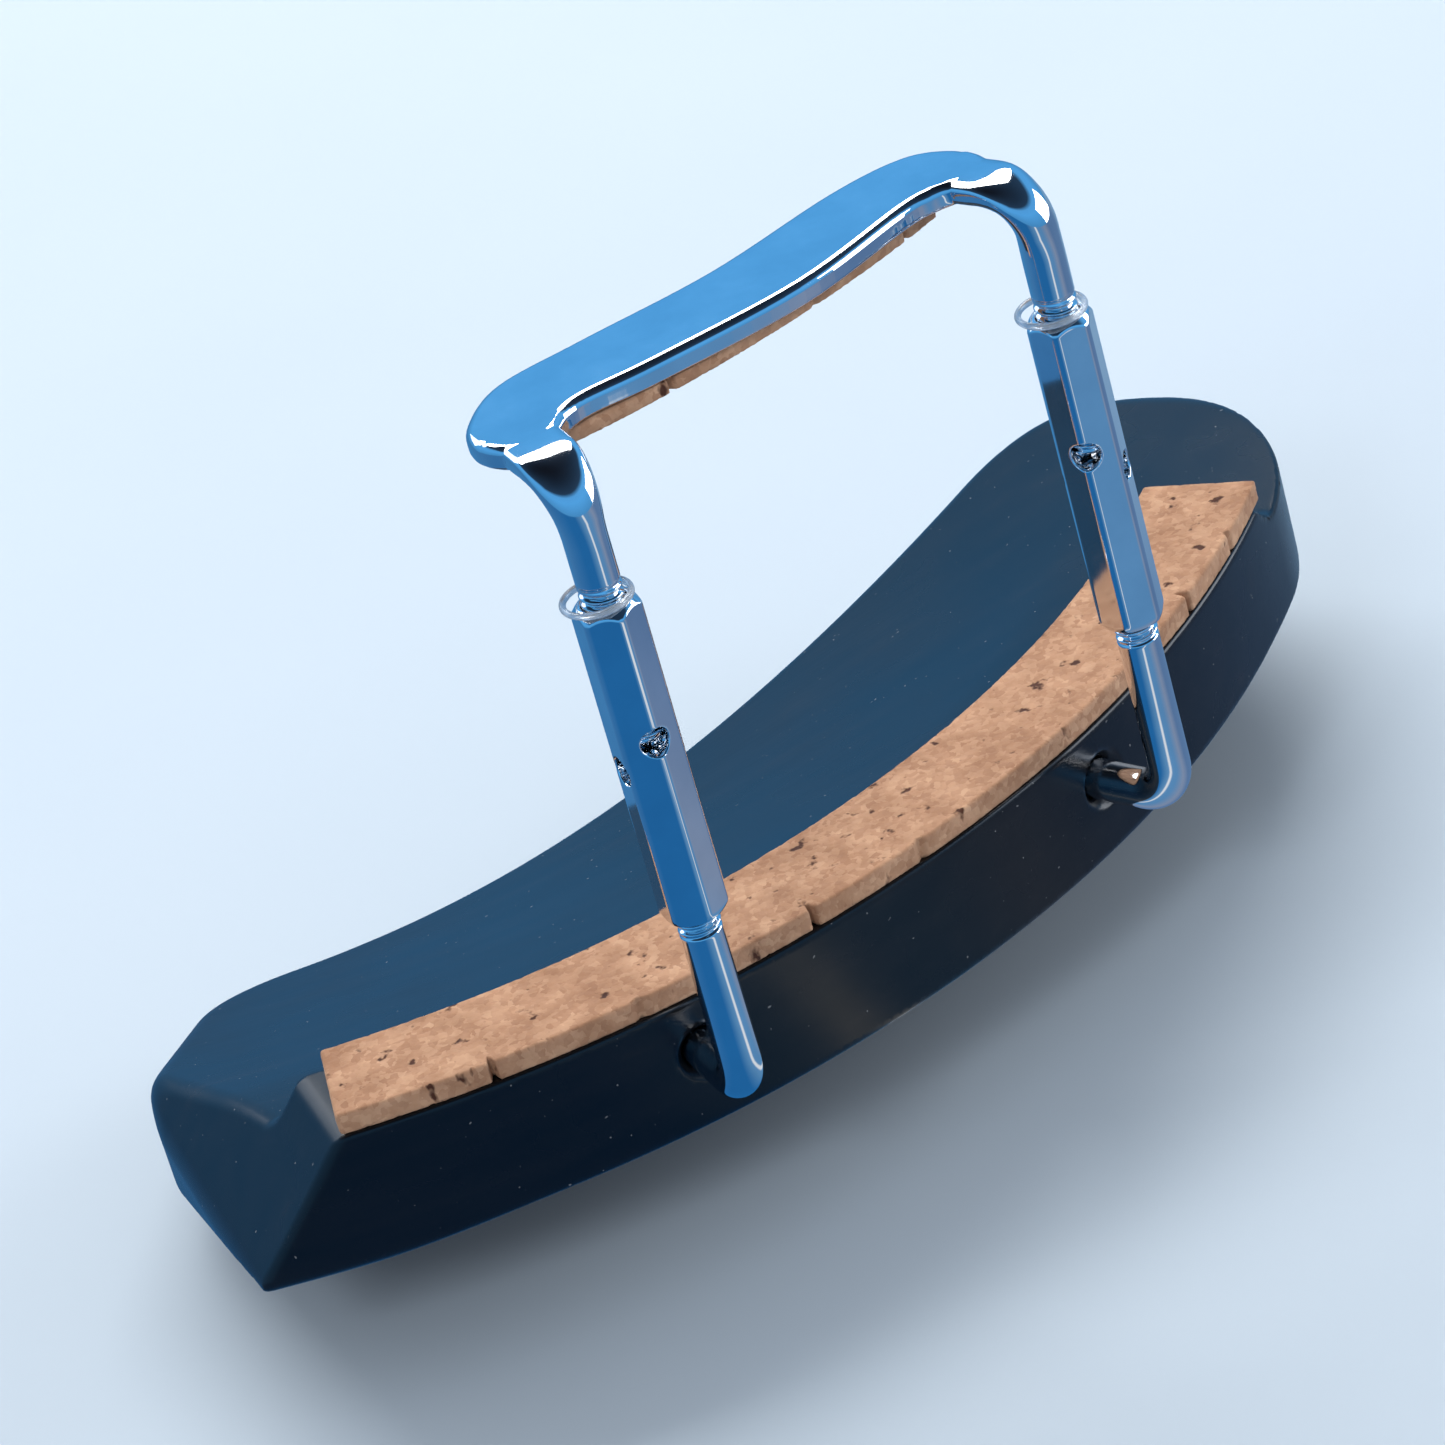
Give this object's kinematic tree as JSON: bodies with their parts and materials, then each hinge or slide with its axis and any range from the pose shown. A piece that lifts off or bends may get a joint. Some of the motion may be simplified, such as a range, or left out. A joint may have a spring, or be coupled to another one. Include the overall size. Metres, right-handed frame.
{
  "type": "violin chin rest",
  "caption": "Side-mounted chin rest for a violin: a dished black plate with a cork-lined foot and a chromed clamp of L-posts, turnbuckle barrels and a forged bracket.",
  "frame": {"origin": "centre of the underside of the box around the whole part, with the clamp as pictured", "axes": "+Z from the chin side to the clamp's bracket, square to the violin's back; +X to the violin's side; +Y towards its scroll. It is upside down as on a violin that lies face down."},
  "size_m": [0.0924, 0.0838, 0.0663],
  "materials": {
    "plate": "near-black ebony, oiled and polished to a satin sheen",
    "chrome": "bright chrome plate, polished",
    "cork": "natural cork sheet, fine granules with dark pores",
    "ring": "clear translucent plastic, slightly milky"
  },
  "bodies": {
    "plate_side": {"chin_plate": "plate", "plate_cork": "cork", "left_post": "chrome", "right_post": "chrome"},
    "left_ring": {"left_ring": "ring"},
    "left_barrel": {"left_barrel": "chrome"},
    "right_ring": {"right_ring": "ring"},
    "right_barrel": {"right_barrel": "chrome"},
    "bracket_side": {"bracket": "chrome", "bracket_cork": "cork"}
  },
  "joints": [
    {"name": "bracket_rise", "type": "slide", "parent": "plate_side", "child": "bracket_side", "axis": [0, 0, 1], "range_m": [-0.0024, 0.0096]},
    {"name": "left_rise", "type": "slide", "parent": "plate_side", "child": "left_ring", "axis": [0, 0, 1], "range_m": [-0.0012, 0.0048]},
    {"name": "left_turn", "type": "hinge", "parent": "left_ring", "child": "left_barrel", "pos_m": [-0.00641, -0.03943, 0.0561], "axis": [0, 0, 1], "range_deg": [-721, 2881]},
    {"name": "right_rise", "type": "slide", "parent": "plate_side", "child": "right_ring", "axis": [0, 0, 1], "range_m": [-0.0012, 0.0048]},
    {"name": "right_turn", "type": "hinge", "parent": "right_ring", "child": "right_barrel", "pos_m": [0.02827, -0.02024, 0.0561], "axis": [0, 0, 1], "range_deg": [-721, 2881]}
  ],
  "couplings": [
    {"joint": "left_rise", "follows": "bracket_rise", "ratio": 0.5},
    {"joint": "right_rise", "follows": "bracket_rise", "ratio": 0.5},
    {"joint": "left_turn", "follows": "bracket_rise", "rad_per_m": 5236},
    {"joint": "right_turn", "follows": "bracket_rise", "rad_per_m": 5236}
  ]
}
